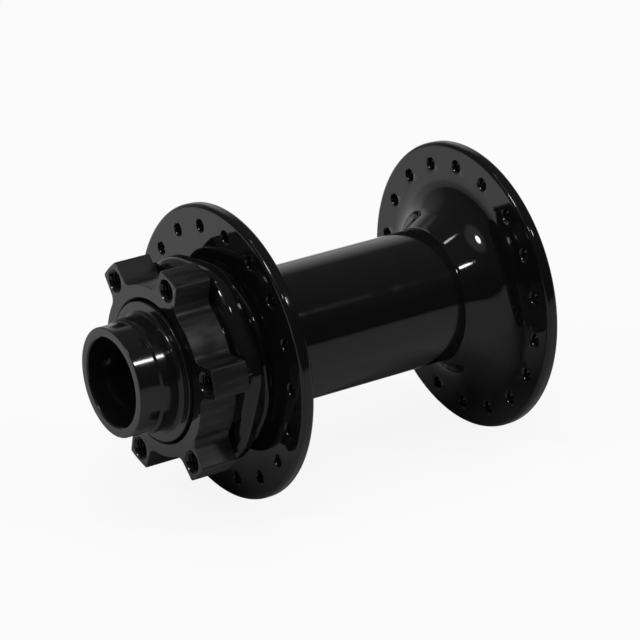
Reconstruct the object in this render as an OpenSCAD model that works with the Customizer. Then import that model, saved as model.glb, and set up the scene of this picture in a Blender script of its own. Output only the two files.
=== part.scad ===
// Bicycle front hub for a 20 mm through axle, 110 mm wide, with a six-bolt
// disc rotor mount and 36 spoke holes. Sizes are millimetres. The hub turns
// about Y, the disc side is at -Y and +Z is up. The origin is on the axis,
// midway between the two dropout faces.

/* [Axle and overall width] */
// Width between the two dropout faces
over_width = 110; // [108:1:135]
// Diameter of the through axle that the bearings run on
axle_d = 20; // [19:0.25:21]
// Radial clearance of the end caps round the axle
axle_clearance = 0.05; // [0.02:0.01:0.12]

/* [Bearings] */
// Outer diameter of each cartridge bearing, and of its pocket
bearing_d = 32; // [31:0.25:33]
// Width of each cartridge bearing
bearing_w = 7; // [6.5:0.25:8]
// Diameter of the balls
ball_d = 3.5; // [3.1:0.1:3.8]
// Number of balls in each bearing
ball_count = 14; // [10:1:14]
// Radial gap between the lands of the two races
land_gap = 1.9; // [1.7:0.1:2.2]
// Running clearance of the balls in their grooves
ball_clearance = 0.03; // [0.02:0.01:0.06]
// Sheet thickness of the riveted steel cage
cage_t = 0.3; // [0.2:0.05:0.4]
// Thickness of the rubber seals of the bearing
bearing_seal_t = 0.5; // [0.4:0.05:0.6]
// Depth of the bearing's outer face behind the shell's end face
bearing_inset = 4; // [3.7:0.1:5]

/* [End caps] */
// Diameter of the tip that stands in the dropout
tip_d = 24.7; // [23.5:0.1:25.3]
// Length of the tip, up to the small step
tip_len = 5.1; // [3.5:0.1:6.5]
// Diameter of the collar behind the tip
collar_d = 25.9; // [25.5:0.1:27.5]
// Radius of the fillet from the collar to the cap's flange
cap_fillet_r = 1.1; // [0.5:0.1:1.3]
// Radial gap between the cap's flange and the pocket wall
cap_gap = 0.25; // [0.15:0.05:0.4]
// Distance that the cap's flange stands out of the shell's end face
cap_proud = 0.6; // [0.3:0.1:1]
// Thickness of the cap's flange
cap_flange_t = 2.2; // [1.8:0.1:2.4]
// Chamfer on the outer edges of the caps
cap_chamfer = 0.3; // [0.1:0.05:0.5]
// Gap between the lip of the cap seal and the pocket wall
lip_gap = 0.1; // [0.05:0.05:0.2]

/* [Rotor mount] */
// Distance from the disc-side dropout face back to the rotor mounting face
rotor_inset = 10.7; // [9:0.1:11.6]
// Diameter of the bolt circle
bolt_circle_d = 44; // [43.6:0.1:44.4]
// Number of ears and rotor bolts
ear_count = 6; // [4:1:6]
// Turned diameter over the tips of the ears
ear_tip_d = 50.8; // [50:0.1:52]
// Width of an ear at its tip
ear_tip_w = 6.7; // [6.4:0.1:7.6]
// Taper of each side of an ear, in degrees
ear_taper = 5; // [2:1:9]
// Diameter of the round core between the ears
valley_d = 38.8; // [38:0.1:39.6]
// Radius of the fillet between an ear and the core
ear_root_r = 2.4; // [1.5:0.1:3]
// Length of the ears along the axle
ear_len = 8.7; // [7:0.1:8.9]
// Core diameter of the M5 threads in the ears
bolt_core_d = 4.2; // [4:0.1:4.6]
// Diameter of the countersink at the mouth of each thread
bolt_mouth_d = 5.3; // [5:0.1:5.8]
// Full depth of the threaded holes
bolt_depth = 10.5; // [9:0.5:12]

/* [Shoulder behind the rotor mount] */
// Diameter of the rounded shoulder
shoulder_d = 50; // [48:0.25:52]
// Distance from the rotor face back to the front of the shoulder
shoulder_inset = 10.2; // [9.2:0.1:11]
// Radius of the shoulder's rounded edge
shoulder_round = 2.6; // [1.5:0.1:3.5]
// Radius of the fillet from the shoulder to the disc flange
shoulder_fillet = 2; // [1:0.25:2.5]

/* [Flanges] */
// Outer diameter of both flanges
flange_d = 67; // [65:0.5:72]
// Thickness of both flanges
flange_t = 3; // [2.6:0.1:3.6]
// Radius of the rounded rims
rim_round = 1; // [0.3:0.1:1.2]
// Distance from the middle of the hub to the middle of the disc flange
disc_flange_offset = 25.9; // [24:0.1:27]
// Distance from the middle of the hub to the middle of the plain flange
plain_flange_offset = 39.6; // [38.8:0.1:40.2]
// Number of spoke holes in the whole hub
spoke_count = 36; // [24:4:36]
// Diameter of the circle of spoke holes
spoke_circle_d = 57.4; // [56.5:0.1:59]
// Diameter of a spoke hole
spoke_hole_d = 2.6; // [2.4:0.1:2.8]
// Diameter of the countersink on both sides of a spoke hole
spoke_mouth_d = 3.2; // [3:0.1:3.6]
// Turn of the shell at rest, from +Z towards +X, in degrees
shell_turn = 6; // [-60:0.5:60]

/* [Barrel and flare] */
// Outer diameter of the barrel
barrel_d = 31; // [30:0.25:32]
// Wall of the barrel
barrel_wall = 2.3; // [1.6:0.1:2.8]
// Radius of the fillet between the barrel and the disc flange
barrel_fillet = 4; // [1:0.5:6]
// Distance that the conical flare reaches inboard of the plain flange
flare_len = 9.1; // [8:0.1:10]
// Slope of the flare from the axis, in degrees
flare_slope = 30; // [28:0.5:31]
// Radius of the fillet between the flare and the plain flange
flare_fillet = 10; // [6:0.1:10.4]
// Diameter of the boss outside the plain flange
boss_d = 38.8; // [38:0.2:42]
// Radius of the rounded edge of the boss
boss_round = 0.8; // [0.3:0.1:1.2]
// Radius of the fillet between the boss and the plain flange
boss_fillet = 1.2; // [0.5:0.1:1.5]

/* [Spacer] */
// Radial gap between the spacer tube and the axle
spacer_gap = 0.1; // [0.06:0.02:0.14]
// Wall of the spacer tube
spacer_wall = 1.6; // [1.2:0.1:1.8]

/* [Hidden] */
$fn = 96;

black_anodised = "#17171a";
bearing_steel = "#b9bcc0";
cage_steel = "#a39a86";
black_rubber = "#232323";
plain_aluminium = "#c4c7ca";

// Small overlap that keeps joined shapes from meeting in a bare edge
lap = 0.5;
// Play between a bearing's rubber seal and the inner race
seal_play = 0.05;
// Play between the cage and the balls, and between the cage and the races
cage_play = 0.15;
// Chamfer on the corners of the races and the spacer
race_chamfer = 0.3;
// Chamfer at the mouth of the bearing pockets
pocket_chamfer = 0.55;
// Least height of the shoulder that a bearing stands against in the shell
pocket_step = 1;
// Depth of the step in the outer race that holds a rubber seal
seal_step = 0.5;
// Distance of a bearing's rubber seal behind the face of the races
seal_sink = 0.2;
// Length and height of the slope on the lip of a bearing's rubber seal
lip_slope = 0.4;
lip_rise = 0.2;
// Distance that a cap's nose stays inside the land of the inner race
nose_step = 0.2;
// Shares of the room before the bearing that the cap seal's body, groove and lip fill
seal_body_share = 0.7;
seal_groove_share = 0.45;
seal_lip_share = 0.6;
// Thickness of the cap seal's lip at its edge and at its root
seal_lip_edge = 0.3;
seal_lip_root = 0.5;
// Step between the tip and the collar of a cap, along the axle
cap_step = 0.4;
// Half of the point angle of a twist drill
drill_half_angle = 59;

end_y = over_width / 2 - rotor_inset;      // the shell's two end faces
bearing_y = end_y - bearing_inset;         // the bearings' outer faces
bearing_mid = bearing_y - bearing_w / 2;
disc_flange_y = -disc_flange_offset;
plain_flange_y = plain_flange_offset;

bore_r = axle_d / 2;
cap_bore_r = bore_r + axle_clearance;
spacer_bore_r = bore_r + spacer_gap;
pocket_r = bearing_d / 2;
ball_r = ball_d / 2;
pitch_r = (bore_r + pocket_r) / 2;
inner_land_r = pitch_r - land_gap / 2;
outer_land_r = pitch_r + land_gap / 2;
seal_seat_r = outer_land_r + seal_step;
seal_depth = bearing_seal_t + seal_sink;
barrel_bore_r = min(barrel_d / 2 - barrel_wall, pocket_r - pocket_step);
cap_flange_r = pocket_r - cap_gap;
nose_r = inner_land_r - nose_step;
flange_back = cap_flange_t - cap_proud;    // depth of the cap flange's back behind the shell's end face

holes_per_flange = spoke_count / 2;
hole_pitch = 360 / holes_per_flange;
ear_turn = shell_turn + hole_pitch / 2;    // each ear stands between two spoke holes
plain_turn = shell_turn - hole_pitch / 2;  // the plain flange's holes lie half a pitch away

// Turns a profile, drawn as [radius, place along the axle], about the axle
module turned() rotate([-90, 0, 0]) rotate_extrude() children();

// Places a shape at a radius and an angle from +Z towards +X, its length along +Y
module around(count, turn, radius, y) {
    for (i = [0 : count - 1]) {
        angle = turn + i * 360 / count;
        translate([radius * sin(angle), y, radius * cos(angle)]) rotate([-90, 0, 0]) children();
    }
}

// Turned disc from y0 to y1 with its corners rounded where r0 or r1 is over zero
module disc_profile(radius, y0, y1, r0, r1) {
    difference() {
        translate([0, y0]) square([radius, y1 - y0]);
        if (r0 > 0) translate([radius - r0, y0 + r0]) corner(r0, 1, -1);
        if (r1 > 0) translate([radius - r1, y1 - r1]) corner(r1, 1, 1);
    }
}

// What a rounded corner takes off, in the quarter that sx and sy point to
module corner(r, sx, sy) {
    shift_x = sx > 0 ? 0 : -2 * r;
    shift_y = sy > 0 ? 0 : -2 * r;
    difference() {
        translate([shift_x, shift_y]) square(2 * r);
        circle(r);
    }
}

// Concave fillet of radius r in the corner at [x, y], reaching towards +x and sy
module fillet(x, y, r, sy) {
    difference() {
        translate([x - lap, sy > 0 ? y - lap : y - r]) square([r + lap, r + lap]);
        translate([x + r, y + sy * r]) circle(r);
    }
}

// Rotor mount

// Centre of an ear's root fillet, found on the line that runs beside the ear's flank
ear_start = [ear_tip_d / 2 + ear_root_r * sin(ear_taper), ear_tip_w / 2 + ear_root_r * cos(ear_taper)];
flank = [-cos(ear_taper), sin(ear_taper)];
root_reach = valley_d / 2 + ear_root_r;
along = ear_start * flank;
root_way = -along - sqrt(along * along - (ear_start * ear_start - root_reach * root_reach));
root_centre = ear_start + root_way * flank;
root_on_ear = root_centre - ear_root_r * [sin(ear_taper), cos(ear_taper)];
root_on_core = root_centre * (valley_d / 2) / root_reach;

// Half of one ear, from its middle line to its flank and root fillet
module half_ear() {
    difference() {
        polygon([[0, 0], [ear_tip_d / 2, 0], [ear_tip_d / 2, ear_tip_w / 2], root_on_ear,
                 root_centre, root_on_core]);
        translate(root_centre) circle(ear_root_r);
    }
}

module ear_outline() {
    intersection() {
        union() {
            for (i = [0 : ear_count - 1]) {
                rotate(ear_turn + i * 360 / ear_count) {
                    half_ear();
                    mirror([0, 1]) half_ear();
                }
            }
            circle(valley_d / 2);
        }
        circle(ear_tip_d / 2);
    }
}

module ears() {
    translate([0, -end_y, 0]) rotate([-90, 0, 0]) linear_extrude(ear_len) rotate(-90) ear_outline();
}

// Threaded hole with a countersunk mouth and a drill point, opening at y = 0
module bolt_hole() {
    mouth_depth = (bolt_mouth_d - bolt_core_d) / 2;
    translate([0, 0, -lap]) cylinder(h = bolt_depth + lap, d = bolt_core_d);
    translate([0, 0, bolt_depth])
        cylinder(h = bolt_core_d / 2 / tan(drill_half_angle), d1 = bolt_core_d, d2 = 0);
    translate([0, 0, -lap])
        cylinder(h = mouth_depth + lap, d1 = bolt_mouth_d + 2 * lap, d2 = bolt_core_d);
}

// Spoke hole through a flange whose middle is at y = 0, countersunk on both sides
module spoke_hole() {
    mouth_depth = (spoke_mouth_d - spoke_hole_d) / 2;
    translate([0, 0, -flange_t]) cylinder(h = 2 * flange_t, d = spoke_hole_d);
    for (side = [0, 1]) {
        mirror([0, 0, side]) translate([0, 0, flange_t / 2 - mouth_depth])
            cylinder(h = mouth_depth + lap, d1 = spoke_hole_d, d2 = spoke_mouth_d + 2 * lap);
    }
}

// Hub shell

// Concave fillet between the cone of the flare and the flange that the cone meets at [x, y]
module flare_corner(x, y) {
    reach = flare_fillet * tan((90 - flare_slope) / 2);
    on_cone = [x - reach * sin(flare_slope), y - reach * cos(flare_slope)];
    on_flange = [x + reach, y];
    centre = [x + reach, y - flare_fillet];
    inwards = lap * [-cos(flare_slope), sin(flare_slope)];
    difference() {
        polygon([on_cone, on_cone + inwards, [x, y + lap], [x + reach, y + lap], on_flange, centre]);
        translate(centre) circle(flare_fillet);
    }
}

module shell_outside() {
    disc_front = disc_flange_y - flange_t / 2;
    disc_back = disc_flange_y + flange_t / 2;
    plain_front = plain_flange_y - flange_t / 2;
    plain_back = plain_flange_y + flange_t / 2;
    shoulder_y = -end_y + shoulder_inset;
    flare_y = plain_front - flare_len;
    flare_end_r = barrel_d / 2 + flare_len * tan(flare_slope);
    disc_profile(valley_d / 2, -end_y, shoulder_y + lap, 0, 0);
    disc_profile(shoulder_d / 2, shoulder_y, disc_flange_y, shoulder_round, 0);
    fillet(shoulder_d / 2, disc_front, shoulder_fillet, -1);
    disc_profile(flange_d / 2, disc_front, disc_back, rim_round, rim_round);
    fillet(barrel_d / 2, disc_back, barrel_fillet, 1);
    disc_profile(barrel_d / 2, disc_flange_y, plain_flange_y, 0, 0);
    polygon([[0, flare_y], [barrel_d / 2, flare_y], [flare_end_r, plain_front], [flare_end_r, plain_flange_y],
             [0, plain_flange_y]]);
    flare_corner(flare_end_r, plain_front);
    disc_profile(flange_d / 2, plain_front, plain_back, rim_round, rim_round);
    fillet(boss_d / 2, plain_back, boss_fillet, 1);
    disc_profile(boss_d / 2, plain_flange_y, end_y, 0, boss_round);
}

// Room inside the shell on the +Y half: pocket, chamfer at its mouth and the bore behind it
module shell_inside() {
    shoulder = bearing_y - bearing_w;
    polygon([[0, -lap], [barrel_bore_r, -lap], [barrel_bore_r, shoulder], [pocket_r, shoulder],
             [pocket_r, end_y - pocket_chamfer], [pocket_r + pocket_chamfer, end_y],
             [pocket_r + pocket_chamfer, end_y + lap], [0, end_y + lap]]);
}

module hub_shell() color(black_anodised) {
    difference() {
        union() {
            turned() shell_outside();
            ears();
        }
        turned() shell_inside();
        turned() mirror([0, 1]) shell_inside();
        around(ear_count, ear_turn, bolt_circle_d / 2, -end_y) bolt_hole();
        around(holes_per_flange, shell_turn, spoke_circle_d / 2, disc_flange_y) spoke_hole();
        around(holes_per_flange, plain_turn, spoke_circle_d / 2, plain_flange_y) spoke_hole();
    }
}

// Axle parts, which stand still between the dropouts

module spacer_tube() color(plain_aluminium) {
    length = 2 * (bearing_y - bearing_w);
    c = race_chamfer;
    inner = spacer_bore_r;
    outer = inner + spacer_wall;
    turned() translate([0, -length / 2]) polygon([[inner, 0], [outer - c, 0], [outer, c],
        [outer, length - c], [outer - c, length], [inner, length]]);
}

// End cap of the +Y side: tip, step, collar, fillet, flange and the nose that meets the inner race
module end_cap() color(black_anodised) {
    face_y = over_width / 2;
    tip_y = face_y - tip_len;
    flange_y = end_y + cap_proud;
    back_y = end_y - flange_back;
    tip_r = tip_d / 2;
    collar_r = collar_d / 2;
    c = cap_chamfer;
    turned() difference() {
        union() {
            polygon([[0, bearing_y], [nose_r, bearing_y], [nose_r, back_y],
                     [cap_flange_r - c, back_y], [cap_flange_r, back_y + c],
                     [cap_flange_r, flange_y - c], [cap_flange_r - c, flange_y],
                     [collar_r, flange_y], [collar_r, tip_y - cap_step],
                     [tip_r, tip_y], [tip_r, face_y - c], [tip_r - c, face_y], [0, face_y]]);
            fillet(collar_r, flange_y, cap_fillet_r, 1);
        }
        translate([0, bearing_y - lap]) square([cap_bore_r, over_width]);
        polygon([[0, face_y - c], [cap_bore_r, face_y - c], [cap_bore_r + c, face_y],
                 [cap_bore_r + c, face_y + lap], [0, face_y + lap]]);
    }
}

// Rubber ring on the nose of a cap, with a lip that closes the pocket
module cap_seal() color(black_rubber) {
    back_y = end_y - flange_back;
    lip_r = pocket_r - lip_gap;
    room = back_y - bearing_y;
    body_r = (nose_r + pocket_r) / 2;
    body_y = back_y - seal_body_share * room;
    groove_y = back_y - seal_groove_share * room;
    lip_y = back_y - seal_lip_share * room;
    turned() polygon([[nose_r, back_y], [nose_r, body_y], [body_r, body_y], [body_r, groove_y],
        [lip_r - seal_lip_edge, body_y], [lip_r, lip_y], [body_r + seal_lip_root, back_y]]);
}

// Cartridge bearing, drawn about its own middle

module outer_race() color(bearing_steel) {
    c = race_chamfer;
    half = bearing_w / 2;
    turned() difference() {
        polygon([[outer_land_r, -half], [pocket_r - c, -half], [pocket_r, c - half],
                 [pocket_r, half - c], [pocket_r - c, half], [outer_land_r, half]]);
        translate([pitch_r, 0]) circle(ball_r + ball_clearance);
        translate([0, half - seal_depth]) square([seal_seat_r, bearing_w]);
        translate([0, seal_depth - half - bearing_w]) square([seal_seat_r, bearing_w]);
    }
}

module inner_race() color(bearing_steel) {
    c = race_chamfer;
    half = bearing_w / 2;
    turned() difference() {
        polygon([[bore_r + c, -half], [inner_land_r, -half], [inner_land_r, half],
                 [bore_r + c, half], [bore_r, half - c], [bore_r, c - half]]);
        translate([pitch_r, 0]) circle(ball_r + ball_clearance);
    }
}

module balls() color(bearing_steel) {
    around(ball_count, 0, pitch_r, 0) sphere(ball_r);
}

// One half of the riveted ribbon cage: a flat ring with a cup over each ball
module cage_half() color(cage_steel) {
    half_w = land_gap / 2 - cage_play;
    cup_r = ball_r + cage_play + cage_t;
    difference() {
        union() {
            turned() translate([pitch_r - half_w, 0]) square([2 * half_w, cage_t]);
            intersection() {
                around(ball_count, 0, pitch_r, 0) sphere(cup_r);
                turned() translate([pitch_r - half_w, 0]) square([2 * half_w, cup_r + lap]);
            }
        }
        around(ball_count, 0, pitch_r, 0) sphere(ball_r + cage_play);
    }
}

// Rubber seal of the bearing's +Y side, held in the outer race
module bearing_seal() color(black_rubber) {
    face = bearing_w / 2 - seal_depth;
    lip_r = inner_land_r + seal_play;
    turned() polygon([[lip_r, face], [seal_seat_r, face], [seal_seat_r, face + bearing_seal_t],
        [lip_r + lip_slope, face + bearing_seal_t], [lip_r, face + bearing_seal_t - lip_rise]]);
}

module on_disc_bearing() translate([0, -bearing_mid, 0]) children();
module on_plain_bearing() translate([0, bearing_mid, 0]) children();
module flipped() mirror([0, 1, 0]) children();

module disc_end_cap() flipped() end_cap();
module plain_end_cap() end_cap();
module disc_cap_seal() flipped() cap_seal();
module plain_cap_seal() cap_seal();

module disc_outer_race() on_disc_bearing() outer_race();
module disc_inner_race() on_disc_bearing() inner_race();
module disc_balls() on_disc_bearing() balls();
module disc_outboard_cage() on_disc_bearing() flipped() cage_half();
module disc_inboard_cage() on_disc_bearing() cage_half();
module disc_outboard_seal() on_disc_bearing() flipped() bearing_seal();
module disc_inboard_seal() on_disc_bearing() bearing_seal();

module plain_outer_race() on_plain_bearing() outer_race();
module plain_inner_race() on_plain_bearing() inner_race();
module plain_balls() on_plain_bearing() balls();
module plain_outboard_cage() on_plain_bearing() cage_half();
module plain_inboard_cage() on_plain_bearing() flipped() cage_half();
module plain_outboard_seal() on_plain_bearing() bearing_seal();
module plain_inboard_seal() on_plain_bearing() flipped() bearing_seal();

hub_shell();
spacer_tube();
disc_end_cap();
plain_end_cap();
disc_cap_seal();
plain_cap_seal();
disc_outer_race();
disc_inner_race();
disc_balls();
disc_outboard_cage();
disc_inboard_cage();
disc_outboard_seal();
disc_inboard_seal();
plain_outer_race();
plain_inner_race();
plain_balls();
plain_outboard_cage();
plain_inboard_cage();
plain_outboard_seal();
plain_inboard_seal();
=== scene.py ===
import math

import bmesh
import bpy
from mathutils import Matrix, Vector


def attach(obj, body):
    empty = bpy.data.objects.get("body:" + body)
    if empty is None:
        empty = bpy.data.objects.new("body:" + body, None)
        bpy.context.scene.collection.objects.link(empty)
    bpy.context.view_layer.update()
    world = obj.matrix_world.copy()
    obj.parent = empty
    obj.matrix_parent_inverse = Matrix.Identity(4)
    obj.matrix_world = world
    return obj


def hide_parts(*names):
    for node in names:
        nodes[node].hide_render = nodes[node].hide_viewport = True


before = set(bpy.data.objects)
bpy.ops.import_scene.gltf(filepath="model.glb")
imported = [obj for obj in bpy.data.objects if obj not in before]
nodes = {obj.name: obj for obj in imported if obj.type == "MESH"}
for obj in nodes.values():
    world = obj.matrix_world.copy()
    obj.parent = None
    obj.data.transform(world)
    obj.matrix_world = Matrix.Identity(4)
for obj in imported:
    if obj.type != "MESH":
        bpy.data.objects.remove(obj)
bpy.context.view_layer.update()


# Hub shell.
# One piece of aluminium, turned on a lathe, then milled and drilled, polished and anodised gloss black.
# The rotor is bolted to its six ears, the spokes hook into its two flanges, and it spins on the bearings.

# Sizes are in millimetres and turns in degrees. Places run along the axle from the middle of the hub.
MM = 0.001
ROUND = 360                                  # corners in each turned ring
SHARP_ANGLE = 31                             # edges that turn more than this stay sharp
END_Y = 44.3                                 # the shell's two end faces
EARS, EAR_TURN = 6, 16
EAR_TIP_R, EAR_TIP_W, EAR_TAPER, EAR_ROOT_R, EAR_CORNER_R = 25.4, 6.7, 5, 2.4, 0.6
EAR_BACK_Y, CORE_R, EDGE_BREAK = -35.6, 19.4, 0.14
VALLEY_STEPS, ROOT_STEPS, CORNER_STEPS, TIP_STEPS, EDGE_STEPS = 16, 12, 8, 6, 4
BOLT_CIRCLE_R, THREAD_R, THREAD_CORE_R, THREAD_PITCH = 22, 2.5, 2.1, 0.8
THREAD_START, THREAD_END, TAP_END, DRILL_POINT = 0.55, 9.2, 10.5, 1.2
TAP_MOUTH = [(0, 2.72), (0.02, 2.66), (0.07, 2.62), (0.5, 2.2)]   # (depth, radius) of the countersink
ROWS_A_TURN, TAP_CORNERS, SPOKE_CORNERS = 10, 40, 36
SPOKE_CIRCLE_R, SPOKE_HOLE_R, SPOKE_SINK, SPOKES_A_FLANGE = 28.7, 1.3, 0.3, 18
DISC_FLANGE, DISC_SPOKE_TURN = (-27.4, -24.4), 6
PLAIN_FLANGE, PLAIN_SPOKE_TURN = (38.1, 41.1), -4
# The shoulder swells by its lobe behind each ear, and its neck stays round
SHOULDER_Y, SHOULDER_LOBE, LOBE_TURN, NECK_R, LOBE_RISE = -34.8, 0.6, 5, 20.2, 2
# Corners of the turned outline (place along the axle, radius, rounding), from the shoulder over the
# flanges to the plain end, and back through the bearing pockets to the recess round the disc end cap
SHELL_LINE = [
    (-34.8, 20, 0), (-34.8, 22.8, 2.75), (-30.5, 23, 0.5), (-30, 20.2, 1), (-27.4, 20.2, 1.4),
    (-27.4, 33.5, 1), (-24.4, 33.5, 1),
    (-24.4, 15.5, 4), (29, 15.5, 1.8), (38.1, 20.75, 10), (38.1, 33.5, 1),
    (41.1, 33.5, 1), (41.1, 19.4, 1.2), (44.3, 19.4, 0.8), (44.3, 16.55, 0.08), (43.75, 16, 0.08),
    (33.3, 16, 0.1), (33.3, 13.2, 0.15), (-33.3, 13.2, 0.15), (-33.3, 16, 0.1), (-43.75, 16, 0.08),
    (-44.3, 16.55, 0.08), (-44.3, 16.7, 0)]


def arc(centre, radius, start, end, pieces):
    """(point, direction from the centre) along the shorter arc between two angles."""
    sweep = (end - start + math.pi) % (2 * math.pi) - math.pi
    made = []
    for i in range(pieces + 1):
        a = start + sweep * i / pieces
        way = Vector((math.cos(a), math.sin(a)))
        made.append((centre + way * radius, way))
    return made


def heading(v):
    return math.atan2(v.y, v.x)


def lathe_line(corners, step=11):
    """Points (place along the axle, radius) of a turned outline with its corners rounded."""
    line = [Vector(corners[0][:2])]
    for before, here, after in zip(corners, corners[1:], corners[2:]):
        p, rounding = Vector(here[:2]), here[2]
        made = [p]
        if rounding:
            a, b = (Vector(before[:2]) - p).normalized(), (Vector(after[:2]) - p).normalized()
            half = a.angle(b) / 2
            middle = p + (a + b).normalized() * (rounding / math.sin(half))
            start, end = p + a * (rounding / math.tan(half)), p + b * (rounding / math.tan(half))
            pieces = max(3, math.ceil((180 - 2 * math.degrees(half)) / step))
            made = [q for q, _ in arc(middle, rounding, heading(start - middle), heading(end - middle), pieces)]
        line += [q for q in made if (q - line[-1]).length > 1e-4 or q is not made[0]]
    last = Vector(corners[-1][:2])
    return line + ([last] if (last - line[-1]).length > 1e-4 else [])


def ring(bm, points):
    return [bm.verts.new(Vector(p) * MM) for p in points]


def turned_ring(bm, y, radius, lobe=0):
    turns = [2 * math.pi * i / ROUND for i in range(ROUND)]
    swell = [radius + lobe * math.cos(EARS * (t - math.radians(EAR_TURN + LOBE_TURN))) for t in turns]
    return ring(bm, [(r * math.sin(t), y, r * math.cos(t)) for r, t in zip(swell, turns)])


def strip(bm, a, b):
    """Band of faces between two rings with the same number of corners."""
    for i in range(len(a)):
        j = (i + 1) % len(a)
        bm.faces.new((a[i], a[j], b[j], b[i]))


# Flat faces keep their own normals where a rounding meets them: the Weighted Normal modifier reads this layer
FACE_STRENGTH, STRONG = "__mod_weightednormals_faceweight", 16384


def flat_face(bm, *loops):
    """Flat face inside the outer one of some closed loops, with the others left open."""
    edges = []
    for loop in loops:
        for pair in zip(loop, loop[1:] + loop[:1]):
            edges.append(bm.edges.get(pair) or bm.edges.new(pair))
    made = bmesh.ops.triangle_fill(bm, use_beauty=True, use_dissolve=False, edges=edges, normal=(0, 1, 0))
    for face in made["geom"]:
        if isinstance(face, bmesh.types.BMFace):
            face[bm.faces.layers.int[FACE_STRENGTH]] = STRONG


def bored(bm, centre_turn, centre_r, places, corners):
    """Rings of a round hole that runs along the axle. places are (place along the axle, radius)."""
    t = math.radians(centre_turn)
    x, z = centre_r * math.sin(t), centre_r * math.cos(t)
    rings = []
    for y, radius in places:
        points = []
        for i in range(corners):
            a = 2 * math.pi * i / corners
            r = radius(i / corners) if callable(radius) else radius
            points.append((x + r * math.cos(a), y, z + r * math.sin(a)))
        rings.append(ring(bm, points))
    for a, b in zip(rings, rings[1:]):
        strip(bm, a, b)
    return rings


def tapped_hole(bm, turn):
    """Threaded hole in an ear: countersink, thread that runs in and out, plain core and drill point."""
    def ridged(depth, fade):
        def radius(share):
            phase = (depth / THREAD_PITCH - share) % 1
            groove = min(1, max(0, 1.3 - abs(2 * phase - 1) * 1.6))
            return THREAD_CORE_R + (THREAD_R - THREAD_CORE_R) * groove * fade
        return radius

    places = list(TAP_MOUTH)
    rows = int((THREAD_END - THREAD_START) / THREAD_PITCH * ROWS_A_TURN)
    for row in range(rows):
        depth = THREAD_START + row * THREAD_PITCH / ROWS_A_TURN
        places.append((depth, ridged(depth, min(1, (row + 4) / 8, (rows - row) / ROWS_A_TURN))))
    places += [(TAP_END, THREAD_CORE_R), (TAP_END + DRILL_POINT, 0.1)]
    rings = bored(bm, turn, BOLT_CIRCLE_R, [(depth - END_Y, r) for depth, r in places], TAP_CORNERS)
    bm.faces.new(rings[-1])
    return rings[0]


def spoke_hole(bm, turn, flange):
    """Hole through a flange, countersunk on both sides, as its two mouths."""
    mouth = SPOKE_HOLE_R + SPOKE_SINK
    half = [(0, mouth + 0.06), (0.02, mouth + 0.02), (0.06, mouth - 0.03), (0.16, mouth - 0.12),
            (SPOKE_SINK - 0.02, SPOKE_HOLE_R + 0.03), (SPOKE_SINK + 0.05, SPOKE_HOLE_R)]
    places = [(flange[0] + d, r) for d, r in half] + [(flange[1] - d, r) for d, r in reversed(half)]
    rings = bored(bm, turn, SPOKE_CIRCLE_R, places, SPOKE_CORNERS)
    return rings[0], rings[-1]


def ear_outline():
    """(point, direction outwards, share) round the ears. The share is 0 in the valleys and 1 on the ears."""
    taper = math.radians(EAR_TAPER)
    side, inwards = Vector((math.sin(taper), math.cos(taper))), Vector((-math.cos(taper), math.sin(taper)))

    def on_circle(start, way, radius, sign):
        """Where a line from a point meets a circle round the axle."""
        dot = start.dot(way)
        return start + way * (-dot + sign * math.sqrt(dot * dot - start.dot(start) + radius * radius))

    tip = Vector((EAR_TIP_R, EAR_TIP_W / 2))
    root = on_circle(tip + side * EAR_ROOT_R, inwards, CORE_R + EAR_ROOT_R, -1)
    corner = on_circle(root - side * (EAR_ROOT_R + EAR_CORNER_R), -inwards, EAR_TIP_R - EAR_CORNER_R, 1)
    centre = Vector((0, 0))
    valley = arc(centre, CORE_R, math.pi / EARS, heading(root), VALLEY_STEPS)
    half = [(p, way, 0) for p, way in valley[:-1]]
    fillet = arc(root, EAR_ROOT_R, heading(-root), heading(-side), ROOT_STEPS)
    half += [(p, -way, min(1, i / 8)) for i, (p, way) in enumerate(fillet)]
    half += [(p, way, 1) for p, way in arc(corner, EAR_CORNER_R, heading(side), heading(corner), CORNER_STEPS)]
    half += [(p, way, 1) for p, way in arc(centre, EAR_TIP_R, heading(corner), 0, TIP_STEPS)[1:]]
    other = [(Vector((p.x, -p.y)), Vector((way.x, -way.y)), share) for p, way, share in reversed(half[1:-1])]
    outline = []
    for ear in range(EARS):
        t = math.radians(EAR_TURN - ear * 360 / EARS)
        out, across = Vector((math.sin(t), math.cos(t))), Vector((math.cos(t), -math.sin(t)))
        outline += [(out * p.x + across * p.y, out * way.x + across * way.y, share)
                    for p, way, share in half + other]
    return outline


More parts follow.
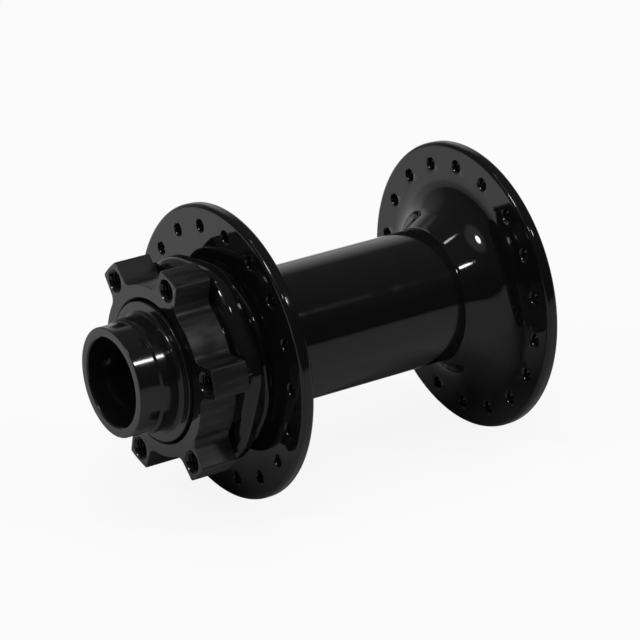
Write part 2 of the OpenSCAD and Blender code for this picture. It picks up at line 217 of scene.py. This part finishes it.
def rotor_mount(bm):
    """The six ears and their round core, as the front loop and the loop where the core meets the shoulder."""
    outline = ear_outline()
    count = len(outline)

    def outline_ring(y, inset, only_ears=False):
        return ring(bm, [(p.x - way.x * inset * (share if only_ears else 1),
                          y(share) if callable(y) else y,
                          p.y - way.y * inset * (share if only_ears else 1)) for p, way, share in outline])

    steps = [math.radians(90 * i / EDGE_STEPS) for i in range(EDGE_STEPS + 1)]
    loops = [outline_ring(-END_Y + EDGE_BREAK * (1 - math.cos(a)), EDGE_BREAK * (1 - math.sin(a)))
             for a in steps]
    loops += [outline_ring(lambda share, a=a: EAR_BACK_Y - EDGE_BREAK * share * (1 - math.sin(a)),
                           EDGE_BREAK * (1 - math.cos(a)), True) for a in steps]
    for a, b in zip(loops, loops[1:]):
        strip(bm, a, b)
    for face in bm.faces:
        face.material_index = 1

    # Flat back of each ear, closed by an arc of the core under it
    back, core, i = loops[-1], [], 0
    while i < count:
        core.append(back[i])
        if outline[(i + 1) % count][2] > 0:
            end = i + 1
            while outline[end % count][2] > 0:
                end += 1
            a, b = outline[i][0], outline[end % count][0]
            round_core = arc(Vector((0, 0)), CORE_R, heading(a), heading(b), 14)[1:-1]
            under = ring(bm, [(p.x, EAR_BACK_Y, p.y) for p, _ in round_core])
            flat_face(bm, [back[k % count] for k in range(i, end + 1)] + under[::-1])
            core += under
            i = end
        else:
            i += 1
    seat = [bm.verts.new((v.co.x, SHOULDER_Y * MM, v.co.z)) for v in core]
    strip(bm, core, seat)
    return loops[0], seat


def flanged_body(bm, seat):
    """The turned body with its drilled flanges, from the core's seat to the recess. Returns its last ring."""
    mouths = {y: [] for y in DISC_FLANGE + PLAIN_FLANGE}
    for flange, turn in ((DISC_FLANGE, DISC_SPOKE_TURN), (PLAIN_FLANGE, PLAIN_SPOKE_TURN)):
        for k in range(SPOKES_A_FLANGE):
            for y, mouth in zip(flange, spoke_hole(bm, turn + k * 360 / SPOKES_A_FLANGE, flange)):
                mouths[y].append(mouth)
    line = lathe_line(SHELL_LINE)
    rings = []
    for y, radius in line:
        on_shoulder = y < DISC_FLANGE[0] - 0.1
        swell = SHOULDER_LOBE * min(1, max(0, (radius - NECK_R) / LOBE_RISE)) if on_shoulder else 0
        rings.append(turned_ring(bm, y, radius, swell))
    flat_face(bm, rings[0], seat)
    for (p, a), (q, b) in zip(zip(line, rings), list(zip(line, rings))[1:]):
        drilled = abs(p.x - q.x) < 1e-4 and min(p.y, q.y) < SPOKE_CIRCLE_R < max(p.y, q.y)
        if drilled:
            face = min(mouths, key=lambda y: abs(y - p.x))
            flat_face(bm, *((a, b) if p.y > q.y else (b, a)), *mouths[face])
        else:
            strip(bm, a, b)
    return rings[-1]


def shell_mesh():
    bm = bmesh.new()
    bm.faces.layers.int.new(FACE_STRENGTH)
    front, seat = rotor_mount(bm)
    recess = flanged_body(bm, seat)
    bolts = [tapped_hole(bm, EAR_TURN + k * 360 / EARS) for k in range(EARS)]
    flat_face(bm, front, recess, *bolts)
    return bm


def finished_piece(name, bm, material, body, finish, *stands_for):
    """The object of a piece, with its sharp edges kept and the rest smooth."""
    bmesh.ops.recalc_face_normals(bm, faces=bm.faces)
    mesh = bpy.data.meshes.new(name)
    bm.to_mesh(mesh)
    bm.free()
    mesh.shade_smooth()
    mesh.set_sharp_from_angle(angle=math.radians(SHARP_ANGLE))
    mesh.materials.append(material)
    piece = bpy.data.objects.new(name, mesh)
    bpy.context.scene.collection.objects.link(piece)
    even = piece.modifiers.new("even_faces", "WEIGHTED_NORMAL")
    even.keep_sharp = even.use_face_influence = True
    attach(piece, body)
    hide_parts(*stands_for)
    return piece


def new_material(name):
    material = bpy.data.materials.new(name)
    material.use_nodes = True
    tree = material.node_tree
    return material, tree, tree.nodes["Principled BSDF"]


def node_in(tree, kind, sockets=None, **settings):
    """A node with its settings, and with each named input linked or given its value."""
    node = tree.nodes.new(kind)
    for name, value in settings.items():
        setattr(node, name, value)
    for socket, source in (sockets or {}).items():
        if isinstance(source, bpy.types.NodeSocket):
            tree.links.new(source, node.inputs[socket])
        else:
            node.inputs[socket].default_value = source
    return node


def worked_out(tree, operation, *values):
    return node_in(tree, "ShaderNodeMath", dict(enumerate(values)), operation=operation).outputs[0]


def ranged(tree, value, low, high, to_low, to_high):
    """A value moved smoothly from one range to another, and held at its ends."""
    sockets = {"Value": value, "From Min": low, "From Max": high, "To Min": to_low, "To Max": to_high}
    return node_in(tree, "ShaderNodeMapRange", sockets, interpolation_type="SMOOTHSTEP").outputs["Result"]


def effect_group(name, given, results):
    """An empty node group with named inputs and outputs."""
    tree = bpy.data.node_groups.new(name, "ShaderNodeTree")
    for socket, value in given.items():
        tree.interface.new_socket(socket, in_out="INPUT", socket_type="NodeSocketFloat").default_value = value
    for socket in results:
        tree.interface.new_socket(socket, in_out="OUTPUT", socket_type="NodeSocketFloat")
    return tree, tree.nodes.new("NodeGroupInput").outputs, tree.nodes.new("NodeGroupOutput").inputs


def lathe_marks_group():
    """Fine rings left by turning and polishing, and broad rings that shine a little more or less."""
    tree, given, result = effect_group("lathe_marks", {"Pitch": 0.0002, "Wander": 0.6}, ("Grooves", "Bands"))
    place = node_in(tree, "ShaderNodeTexCoord").outputs["Object"]
    part = node_in(tree, "ShaderNodeSeparateXYZ", {0: place}).outputs
    squares = [worked_out(tree, "MULTIPLY", part[axis], part[axis]) for axis in "XZ"]
    radius = worked_out(tree, "SQRT", worked_out(tree, "ADD", *squares))
    turned = [worked_out(tree, "MULTIPLY", worked_out(tree, "DIVIDE", part[axis], radius), given["Wander"])
              for axis in "XZ"]
    for output, coarser, detail in (("Grooves", 1, 3), ("Bands", 14, 1)):
        pitch = worked_out(tree, "MULTIPLY", given["Pitch"], coarser)
        spot = node_in(tree, "ShaderNodeCombineXYZ", {
            "X": worked_out(tree, "DIVIDE", part["Y"], pitch), "Y": worked_out(tree, "DIVIDE", radius, pitch),
            "Z": turned[0]}).outputs[0]
        sockets = {"Vector": spot, "W": turned[1], "Scale": 1, "Detail": detail}
        noise = node_in(tree, "ShaderNodeTexNoise", sockets, noise_dimensions="4D")
        tree.links.new(noise.outputs["Fac"], result[output])
    return tree


SMUDGE_DENSITY, SCUFF_DENSITY, STREAK_DENSITY = 95, 2600, (620, 80, 620)   # to the metre
SPECKED = 0.07                               # share of the cells that hold a speck of dust


def handling_group():
    """Smudges from hands, specks of dust and fine scuffs, and broad lighter streaks along the axle, which are
    painted sheen in place of the stripes that milled fillets reflect.
    """
    tree, given, result = effect_group("handling_and_sheen", {"Speck size": 0.0005, "Scuff length": 0.006},
                                       ("Smudges", "Specks", "Scuffs", "Streaks"))
    place = node_in(tree, "ShaderNodeTexCoord").outputs["Object"]
    sockets = {"Vector": place, "Scale": SMUDGE_DENSITY, "Detail": 4, "Roughness": 0.55}
    smudges = node_in(tree, "ShaderNodeTexNoise", sockets).outputs["Fac"]
    tree.links.new(smudges, result["Smudges"])

    sockets = {0: place, "Scale": worked_out(tree, "DIVIDE", 1, given["Speck size"])}
    grain = node_in(tree, "ShaderNodeVectorMath", sockets, operation="SCALE").outputs[0]
    cells = node_in(tree, "ShaderNodeTexVoronoi", {"Vector": grain, "Scale": 1}).outputs
    chance = node_in(tree, "ShaderNodeSeparateColor", {0: cells["Color"]}).outputs
    picked = worked_out(tree, "GREATER_THAN", chance["Red"], 1 - SPECKED)
    dot = ranged(tree, cells["Distance"], 0.06, 0.16, 1, 0)
    tree.links.new(worked_out(tree, "MULTIPLY", picked, dot), result["Specks"])

    part = node_in(tree, "ShaderNodeSeparateXYZ", {0: place}).outputs
    run = node_in(tree, "ShaderNodeCombineXYZ", {
        "X": worked_out(tree, "MULTIPLY", part["X"], SCUFF_DENSITY),
        "Z": worked_out(tree, "MULTIPLY", part["Z"], SCUFF_DENSITY),
        "Y": worked_out(tree, "DIVIDE", part["Y"], given["Scuff length"])}).outputs[0]
    lines = node_in(tree, "ShaderNodeTexNoise", {"Vector": run, "Scale": 1, "Detail": 2, "Roughness": 0.6})
    fine = ranged(tree, lines.outputs["Fac"], 0.66, 0.8, 0, 1)
    rubbed = ranged(tree, smudges, 0.48, 0.62, 0, 1)
    tree.links.new(worked_out(tree, "MULTIPLY", fine, rubbed), result["Scuffs"])

    # Painted sheen: broad random streaks along the axle, painted lighter in place of the stripes that the
    # milled fillets reflect
    broad = node_in(tree, "ShaderNodeVectorMath", {0: place, 1: STREAK_DENSITY}, operation="MULTIPLY")
    broad = broad.outputs[0]
    streaks = node_in(tree, "ShaderNodeTexNoise", {"Vector": broad, "Scale": 1, "Detail": 3}).outputs["Fac"]
    tree.links.new(ranged(tree, streaks, 0.42, 0.6, 0, 1), result["Streaks"])
    return tree


LATHE_MARKS, HANDLING_AND_SHEEN = lathe_marks_group(), handling_group()


def placed_group(tree, group, **given):
    """A node group placed in a material with its own values. Returns its outputs."""
    node = node_in(tree, "ShaderNodeGroup", node_tree=group)
    for socket, value in given.items():
        node.inputs[socket.replace("_", " ")].default_value = value
    return node.outputs


def blended(tree, factor, a, b):
    """Colour that goes from a to b."""
    node = node_in(tree, "ShaderNodeMix", data_type="RGBA")
    tree.links.new(factor, node.inputs["Factor"])
    node.inputs["A"].default_value, node.inputs["B"].default_value = (*a, 1), (*b, 1)
    return node.outputs["Result"]


def grooved(tree, surface, height, depth, strength=1):
    """Gives a finish fine grooves of a depth in metres."""
    bump = node_in(tree, "ShaderNodeBump", {"Height": height, "Distance": depth, "Strength": strength})
    tree.links.new(bump.outputs[0], surface.inputs["Normal"])


WORN_BLACK, DUSTY = (0.05, 0.05, 0.052), 0.5


def black_anodising(name, shade, polish, pitch, groove_depth, painted_sheen=0):
    """Black anodised aluminium, polished, with tool marks of a pitch and depth in metres."""
    material, tree, surface = new_material(name)
    marks = placed_group(tree, LATHE_MARKS, Pitch=pitch)
    handled = placed_group(tree, HANDLING_AND_SHEEN)
    wear = worked_out(tree, "MAXIMUM", handled["Specks"], worked_out(tree, "MULTIPLY", handled["Scuffs"], 0.5))
    # Paler with real dust and scuffs, and with the painted sheen streaks where a finish takes them
    paler = worked_out(tree, "MAXIMUM", worked_out(tree, "MULTIPLY", wear, DUSTY),
                       worked_out(tree, "MULTIPLY", handled["Streaks"], painted_sheen))
    colour = blended(tree, paler, (shade, shade, shade * 1.04), WORN_BLACK)
    tree.links.new(colour, surface.inputs["Base Color"])
    rough = ranged(tree, marks["Bands"], 0.35, 0.65, polish * 0.85, polish * 1.15)
    rough = worked_out(tree, "ADD", rough, ranged(tree, handled["Smudges"], 0.5, 0.7, 0, polish * 0.5))
    rough = worked_out(tree, "ADD", rough, worked_out(tree, "MULTIPLY", wear, 0.12))
    tree.links.new(rough, surface.inputs["Roughness"])
    grooved(tree, surface, marks["Grooves"], groove_depth)
    surface.inputs["IOR"].default_value = 1.5
    return material


gloss_black = black_anodising("gloss_black_anodising", 0.0052, 0.055, 0.00022, 0.0000001)
# The milled faces carry the painted sheen streaks
milled_black = black_anodising("milled_black_anodising", 0.003, 0.42, 0.0006, 0.000002, 0.2)
shell = finished_piece("polished_hub_shell", shell_mesh(), gloss_black, "shell", "shell_anodised", "hub_shell")
shell.data.materials.append(milled_black)


# End caps.
# Two hollow aluminium caps, turned on a lathe and anodised black. Each is pushed on the end of the axle,
# where its nose meets the bearing and its tip stands in the fork.

# Corners (place along the axle, radius, rounding) round half a section, from inside the bore
CAP_LINE = [
    (47, 10.05, 0), (40.3, 10.05, 0.1), (40.3, 11.85, 0.1), (42.7, 11.85, 0.1), (42.7, 15.75, 0.25),
    (44.9, 15.75, 0.25), (44.9, 12.95, 1.1), (49.5, 12.95, 0.1), (49.9, 12.35, 0.1), (55, 12.35, 0.25),
    (55, 10.35, 0.06), (54.7, 10.05, 0.06), (47, 10.05, 0)]


def turned_mesh(corners, side):
    """Closed turned ring on the +Y side (1) or the -Y side (-1)."""
    bm = bmesh.new()
    rings = [turned_ring(bm, side * y, radius) for y, radius in lathe_line(corners, 9)[:-1]]
    for a, b in zip(rings, rings[1:] + rings[:1]):
        strip(bm, a, b)
    return bm


satin_black = black_anodising("satin_black_anodising", 0.008, 0.12, 0.00018, 0.0000004)
for side, place in ((-1, "disc"), (1, "plain")):
    finished_piece(f"turned_{place}_end_cap", turned_mesh(CAP_LINE, side), satin_black, "axle", "cap_anodised",
                   f"{place}_end_cap")


# Cap seals.
# A moulded rubber ring sits on the nose of each cap. Its thin lip wipes the bearing pocket and keeps
# water out of the gap round the cap.

CAP_SEAL_LINE = [
    (42, 11.85, 0), (41.02, 11.85, 0.1), (41.02, 13.92, 0.2), (41.62, 13.92, 0.4), (41.02, 15.6, 0.08),
    (41.26, 15.9, 0.06), (42.7, 14.42, 0.1), (42.7, 11.85, 0), (42, 11.85, 0)]


def moulded_rubber(name, shade):
    """Black rubber from a spark-worn mould, with a faint bloom."""
    material, tree, surface = new_material(name)
    place = node_in(tree, "ShaderNodeTexCoord").outputs["Object"]
    mould = node_in(tree, "ShaderNodeTexNoise", {"Vector": place, "Scale": 9000, "Detail": 2}).outputs["Fac"]
    bloom = placed_group(tree, HANDLING_AND_SHEEN, Speck_size=0.0003)
    shade_mask = ranged(tree, bloom["Smudges"], 0.4, 0.75, 0, 1)
    dark, light = [shade * s for s in (1, 1, 1.04)], [shade * s for s in (1.9, 1.9, 1.85)]
    tree.links.new(blended(tree, shade_mask, dark, light), surface.inputs["Base Color"])
    tree.links.new(ranged(tree, mould, 0.3, 0.7, 0.5, 0.66), surface.inputs["Roughness"])
    grooved(tree, surface, mould, 0.000006, 0.6)
    return material


seal_rubber = moulded_rubber("moulded_seal_rubber", 0.014)
for side, place in ((-1, "disc"), (1, "plain")):
    finished_piece(f"lipped_{place}_cap_seal", turned_mesh(CAP_SEAL_LINE, side), seal_rubber, "axle",
                   "cap_seal_rubber", f"{place}_cap_seal")


# Spacer tube.
# A plain turned aluminium tube round the axle, which holds the two inner races apart inside the barrel.

SPACER_LINE = [
    (0, 10.1, 0), (-33.3, 10.1, 0.08), (-33.3, 11.7, 0.3), (33.3, 11.7, 0.3), (33.3, 10.1, 0.08), (0, 10.1, 0)]


def bare_metal(name, colour, polish, pitch, groove_depth):
    """Bare turned or ground metal, with its marks and a slight stain."""
    material, tree, surface = new_material(name)
    marks = placed_group(tree, LATHE_MARKS, Pitch=pitch)
    handled = placed_group(tree, HANDLING_AND_SHEEN)
    stain = worked_out(tree, "ADD", worked_out(tree, "MULTIPLY", marks["Bands"], 0.5),
                       worked_out(tree, "MULTIPLY", handled["Smudges"], 0.5))
    duller = [c * 0.8 for c in colour]
    stained = ranged(tree, stain, 0.4, 0.65, 0, 1)
    tree.links.new(blended(tree, stained, colour, duller), surface.inputs["Base Color"])
    tree.links.new(ranged(tree, stain, 0.35, 0.65, polish * 0.8, polish * 1.3), surface.inputs["Roughness"])
    grooved(tree, surface, marks["Grooves"], groove_depth)
    surface.inputs["Metallic"].default_value = 1
    return material


plain_aluminium = bare_metal("plain_turned_aluminium", (0.72, 0.73, 0.74), 0.24, 0.0003, 0.0000012)
finished_piece("turned_spacer_tube", turned_mesh(SPACER_LINE, 1), plain_aluminium, "axle", "spacer_aluminium",
               "spacer_tube")


# Bearings.
# Two sealed cartridge bearings of hardened chromium steel, pressed into the pockets of the shell. The races
# are ground, the balls lapped to a mirror, and each cage is two pressed steel ribbons riveted together.

def dressed(material, *parts):
    """Gives the same piece of both bearings its finish."""
    for place in ("disc", "plain"):
        for part in parts:
            for held in nodes[f"{place}_{part}"].material_slots:
                held.material = material


ground_steel = bare_metal("ground_bearing_steel", (0.56, 0.56, 0.57), 0.16, 0.0001, 0.0000004)
lapped_steel = bare_metal("lapped_ball_steel", (0.6, 0.6, 0.61), 0.04, 0.0004, 0.00000005)
pressed_steel = bare_metal("pressed_cage_steel", (0.5, 0.46, 0.38), 0.3, 0.0005, 0.000002)
dressed(ground_steel, "outer_race", "inner_race")
dressed(lapped_steel, "balls")
dressed(pressed_steel, "outboard_cage", "inboard_cage")
dressed(moulded_rubber("bearing_seal_rubber", 0.012), "outboard_seal", "inboard_seal")


# Studio.
# A plain pale floor under small lamps, with a pale surrounding behind the hub and a dark room in front of it,
# as the gloss of the shell shows them.

EYE, LOOK = (0.60331, -0.41089, 0.3285), Vector((-0.75436, 0.5132, -0.40935))
LENS, FILM_WIDTH = 201.34, 36
camera = bpy.data.cameras.new("camera")
camera.lens, camera.sensor_width = LENS, FILM_WIDTH
camera.clip_start, camera.clip_end = 0.01, 20
eye = bpy.data.objects.new("camera", camera)
eye.location = EYE
eye.rotation_mode = "QUATERNION"
eye.rotation_quaternion = LOOK.to_track_quat("-Z", "Y")
bpy.context.scene.collection.objects.link(eye)
bpy.context.scene.camera = eye
bpy.context.scene.view_settings.view_transform = "Standard"

FLOOR_Z, FLOOR_SIZE = -0.0335, 12
FLOOR_COLOUR = (0.9, 0.9, 0.9)
SHADOW_SHARE = 0.1                           # how much of the floor's own light and shadow the camera sees
# What the gloss of the shell shows of the floor: a darker colour, painted shade that shows close to the hub,
# and how white it glows along X, a painted reflection
PAINTED_SHADE_UNDER_HUB = (0.52, 0.52, 0.52)
BRIGHT_SIDE = ((0.01, 0), (-0.08, 0.5))
BRIGHT_END = ((-0.18, 1), (-0.32, 0.25))     # the part of that white that is left further out
PAINTED_SHADOW_ENDS = ((0.025, 0.05), (0.03, 0.05))   # where the painted shadow under the hub ends along X and Y, as the gloss sees the floor


def direction(azimuth, elevation):
    """Unit vector from the hub. Azimuth 0 is -Y and 90 is +X."""
    a, e = math.radians(azimuth), math.radians(elevation)
    return Vector((math.sin(a) * math.cos(e), -math.cos(a) * math.cos(e), math.sin(e)))


floor_bm = bmesh.new()
bmesh.ops.create_grid(floor_bm, x_segments=2, y_segments=2, size=FLOOR_SIZE / 2)
floor_mesh = bpy.data.meshes.new("floor")
floor_bm.to_mesh(floor_mesh)
floor_bm.free()
floor = bpy.data.objects.new("floor", floor_mesh)
floor.location.z = FLOOR_Z
bpy.context.scene.collection.objects.link(floor)

pale, tree, surface = new_material("pale_floor")
surface.inputs["Roughness"].default_value = 0.9
surface.inputs["Specular IOR Level"].default_value = 0
rays = node_in(tree, "ShaderNodeLightPath").outputs
# Painted shade: glossy rays see the floor in a darker colour
tree.links.new(blended(tree, rays["Is Glossy Ray"], FLOOR_COLOUR, PAINTED_SHADE_UNDER_HUB), surface.inputs["Base Color"])
place = node_in(tree, "ShaderNodeTexCoord").outputs["Object"]
spot = node_in(tree, "ShaderNodeSeparateXYZ", {0: place}).outputs
(near_x, near_white), (far_x, far_white) = BRIGHT_SIDE
out_of_painted_shadow = [ranged(tree, worked_out(tree, "ABSOLUTE", spot[axis]), start, end, 0, 1)
         for axis, (start, end) in zip("XY", PAINTED_SHADOW_ENDS)]
# Painted reflection: glossy and transmission rays see the floor glow white along X, except in the painted
# shadow under the hub
painted_glow = worked_out(tree, "ADD", rays["Is Glossy Ray"], rays["Is Transmission Ray"])
painted_glow = worked_out(tree, "MULTIPLY", painted_glow, ranged(tree, spot["X"], far_x, near_x, far_white, near_white))
painted_glow = worked_out(tree, "MULTIPLY", painted_glow, worked_out(tree, "MAXIMUM", *out_of_painted_shadow))
(start_x, whole), (end_x, left_over) = BRIGHT_END
painted_glow = worked_out(tree, "MULTIPLY", painted_glow, ranged(tree, spot["X"], end_x, start_x, left_over, whole))
seen = worked_out(tree, "MULTIPLY", rays["Is Camera Ray"], 1 - SHADOW_SHARE)
white = node_in(tree, "ShaderNodeEmission", {"Color": (1, 1, 1, 1), "Strength": 1}).outputs[0]
whiter = worked_out(tree, "MAXIMUM", seen, painted_glow)
mixed = node_in(tree, "ShaderNodeMixShader", {0: whiter, 1: surface.outputs[0], 2: white}).outputs[0]
tree.links.new(mixed, next(n for n in tree.nodes if n.type == "OUTPUT_MATERIAL").inputs["Surface"])
floor_mesh.materials.append(pale)

# Surroundings: (direction, cosine where they start, cosine where they are full, brightness)
ROOM = 0.022
GLOWS = [((-124, 3), 0.77, 0.999, 0.6), ((-85, 2), 0.82, 0.99, 0.22), ((-103, 33), 0.97, 0.994, 0.55),
         ((-80, 60), -0.17, 0.77, 0.1), ((-2, 49), 0.93, 0.98, 0.45)]
world = bpy.data.worlds.new("studio")
bpy.context.scene.world = world
world.use_nodes = True
tree = world.node_tree
way = node_in(tree, "ShaderNodeTexCoord").outputs["Generated"]
bright = ROOM
for (azimuth, elevation), start, full, strength in GLOWS:
    sockets = {0: way, 1: direction(azimuth, elevation)}
    facing = node_in(tree, "ShaderNodeVectorMath", sockets, operation="DOT_PRODUCT").outputs["Value"]
    bright = worked_out(tree, "MAXIMUM", bright, ranged(tree, facing, start, full, ROOM, strength))
rays = node_in(tree, "ShaderNodeLightPath").outputs
background = tree.nodes["Background"].inputs
background["Color"].default_value = (1, 1, 1, 1)
tree.links.new(worked_out(tree, "MAXIMUM", bright, rays["Is Camera Ray"]), background["Strength"])


def hung_lamp(lamp, towards, distance=1):
    """A lamp that shines at the hub from a direction."""
    held = bpy.data.objects.new(lamp.name, lamp)
    held.rotation_mode = "QUATERNION"
    held.rotation_quaternion = towards.to_track_quat("Z", "Y")
    held.location = towards * distance
    bpy.context.scene.collection.objects.link(held)
    return held


softbox = bpy.data.lights.new("overhead_softbox", "AREA")
softbox.size, softbox.energy = 1, 6.5
hung_lamp(softbox, direction(90, 82), 1.1).visible_glossy = False

# Small lamps: name, azimuth, elevation, width in degrees, strength
for name, azimuth, elevation, width, strength in (
        ("back_lamp", 129.5, 45, 4.5, 0.3), ("side_lamp", 0, 44, 9, 0.5), ("high_lamp", -39, 69.6, 3.5, 0.03),
        ("front_lamp", 50, 48.3, 3.5, 0.1)):
    lamp = bpy.data.lights.new(name, "SUN")
    lamp.energy, lamp.angle = strength, math.radians(width)
    hung_lamp(lamp, direction(azimuth, elevation))
